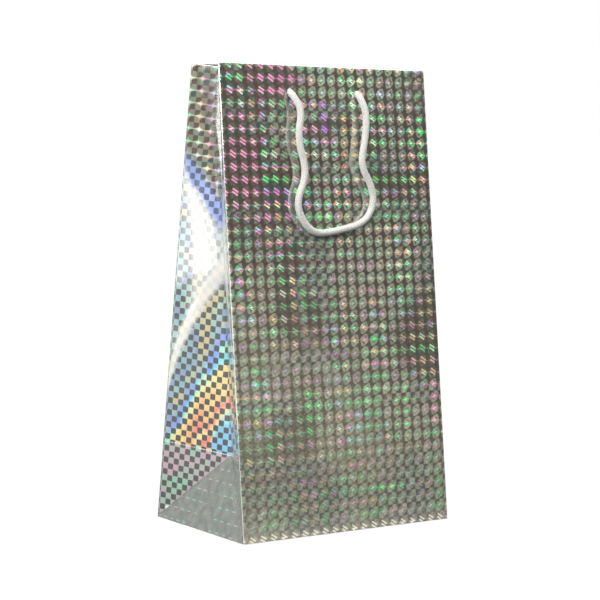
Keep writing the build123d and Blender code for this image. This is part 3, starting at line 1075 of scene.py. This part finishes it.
def foot(side_name):
    """The triangle between a gusset and the base."""
    side = SIDES[side_name]
    first = -DEPTH if side < 0 else WIDTH

    def place(u, v):
        y = (u - first - HALF) * side
        sag = 0.3 * ripple(u, v, 31 + side) * fade(np.minimum(v - 2, HALF - np.abs(y) - v), 8)
        x = side * (WIDTH / 2 - v * sin(FOOT_TILT) + sag)
        return np.stack([x, y, v * cos(FOOT_TILT)], axis=-1)

    low = 0.5
    polygon = [(first + low, low), (first + DEPTH - low, low), (first + HALF, HALF)]
    columns = steps((first + low, first + DEPTH - low, 3.0))
    rows = steps((low, HALF, 3.0))
    name = f"{side_name}_foot"
    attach(card(name, [name], polygon, columns, rows, place), "base")


for side_name in SIDES:
    foot(side_name)


# ---- the turned-in mouth ----
def turned_in(v, radius):
    """Card over a rim: how far it rises, how deep it lies and how far it is down the inside."""
    past = v - RIM_START
    arc = pi * radius
    angle = np.clip(past / arc, 0, 1) * pi
    return radius * np.sin(angle), radius * (1 - np.cos(angle)), np.maximum(past - arc, 0)


def hem_place(wall):
    def place(u, v):
        """V from RIM_START on goes over the rim and down the inside."""
        corner = smoothstep((np.minimum(u, WIDTH - u) - 5) / 7)
        rise, depth, down = turned_in(v, SIDE_RIM + (RIM - SIDE_RIM) * corner)
        return on_wall(wall, u - WIDTH / 2, RIM_START + rise - down, -depth)

    return place


def hem(wall):
    start = RIM_START
    inner_side = start + pi * RIM
    end = inner_side + HEM - 1
    mitre = 11.0
    side = [(0.6, start), (1.4, start + 4.5), (mitre, start + 12), (mitre, end)]
    polygon = side[:1] + [(WIDTH - u, v) for u, v in side] + side[:0:-1]
    columns = steps((1.0, 16, 1.0), (16, WIDTH - 16, 4.0), (WIDTH - 16, WIDTH - 1.0, 1.0))
    rows = steps((start, start + 3.6, 0.28), (start + 3.6, end, 3.5))
    places = hole_places(wall)
    holes = [((across + WIDTH / 2, inner_side + start - up), HOLE_RADIUS) for across, up in places]
    name = f"{wall}_hem"
    options = {"holes": holes, "start": PANEL_START[wall]}
    piece = card(name, [name], polygon, columns, rows, hem_place(wall), **options)
    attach(piece, f"{wall}_wall")


for wall in FACES:
    hem(wall)


def gusset_hem(half):
    """The gusset's own turned-in card: over its top edge and down the inside."""
    outside = gusset_place(half)
    inwards = SIDES[half[0]] * FACES[half[1]]

    def place(a, v):
        rise, depth, down = turned_in(v, SIDE_RIM)
        level = RIM_START - down
        normal, upward = directions(outside, a, level)
        return outside(a, level) + upward * rise[..., None] + normal * depth[..., None] * inwards

    start = RIM_START
    inner_side = start + pi * SIDE_RIM
    end = inner_side + HEM - 2
    corners = [(SETBACK, start), (HALF - 0.3, start), (HALF - 0.3, inner_side + 0.5)]
    corners += [(HALF - 1.3, inner_side + 1.5), (HALF - 1.3, end), (11.0, end)]
    corners += [(9.0, inner_side + 9), (SETBACK + 2, inner_side + 1)]
    rows = steps((start, inner_side, 0.22), (inner_side, end, 3.2))
    name = f"{half[0]}_gusset_hem_{half[1]}"
    gusset_card(half, name, [name], corners, rows, place)


for half in HALVES:
    gusset_hem(half)


# ---- pieces kept as they are in the frame ----
def dress(name, material):
    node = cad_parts[name]
    node.data.materials.clear()
    node.data.materials.append(material)


dress("base_board", BOARD)
for wall in FACES:
    dress(f"{wall}_stiffener", BOARD)
dress("seam_tab", PAPER)
for flap in (*FACES, *SIDES):
    dress(f"base_flap_{flap}", BASE_CARD)


# ---- floor, world and lights ----
def make_floor():
    paint = Paint("floor")
    shade = paint.mix(paint.noise(paint.place(), 40.0), (82, 82, 82), (88, 88, 88))
    paint.finish(Base_Color=shade, Roughness=0.9)
    glow = paint.node("ShaderNodeEmission", Strength=1.1)
    seen = paint.node("ShaderNodeLightPath", output="Is Camera Ray")
    mixer = paint.tree.nodes.new("ShaderNodeMixShader")
    for entry, value in zip(mixer.inputs, (seen * 0.93, Value(paint.tree, paint.shader.outputs[0]), glow)):
        plug(paint.tree, value, entry)
    paint.tree.links.new(mixer.outputs[0], paint.tree.nodes["Material Output"].inputs[0])
    size = 6000.0
    corners = np.array([(-size, -size, 0), (size, -size, 0), (size, size, 0), (-size, size, 0)])
    floor = make_object("floor", make_mesh("floor", corners, [(0, 1, 2, 3)]), [paint.material])


def make_world():
    world = bpy.data.worlds.new("studio")
    bpy.context.scene.world = world
    world.use_nodes = True
    tree = world.node_tree
    background = tree.nodes["Background"]
    coordinates = tree.nodes.new("ShaderNodeTexCoord")
    split = tree.nodes.new("ShaderNodeSeparateXYZ")
    tree.links.new(coordinates.outputs["Generated"], split.inputs[0])
    x, y, z = (Value(tree, split.outputs[k]) for k in range(3))
    # bright white behind the bag and to its left, a darker room on the camera's side
    bright = (y - x * 0.15).step(-0.05, 0.35)
    level = bright * 0.5 + 0.07 + z.step(0.25, 0.9) * 0.4
    seen = Value(tree, tree.nodes.new("ShaderNodeLightPath").outputs["Is Camera Ray"])
    background.inputs["Color"].default_value = (1, 1, 1, 1)
    plug(tree, seen + (1 - seen) * level, background.inputs["Strength"])


def softbox(name, place, target, width, height, power):
    light = bpy.data.lights.new(name, "AREA")
    light.shape = "RECTANGLE"
    light.size = width
    light.size_y = height
    light.energy = power
    lamp = make_object(name, light)
    lamp.location = place
    lamp.rotation_euler = (Vector(target) - Vector(place)).to_track_quat("-Z", "Y").to_euler()
    lamp.visible_camera = False


make_floor()
make_world()
softbox("left_card", (-0.62, -0.04, 0.14), (-0.08, 0.0, 0.15), 0.62, 0.13, 0.23)
softbox("bounce_card", (-0.62, 0.19, 0.05), (-0.08, 0.03, 0.1), 0.22, 0.3, 0.1)
softbox("front_left_softbox", (-1.3, -1.5, 1.3), (0, 0, 0.17), 0.9, 0.9, 34)
softbox("right_softbox", (1.3, -0.9, 1.25), (0, 0, 0.17), 0.9, 0.9, 15)
softbox("left_softbox", (-1.1, -0.42, 0.75), (0, 0, 0.2), 0.8, 0.6, 20)
softbox("top_softbox", (0.2, -0.2, 1.7), (0, 0, 0.1), 1.2, 1.2, 30)
bpy.context.scene.view_settings.view_transform = "Standard"
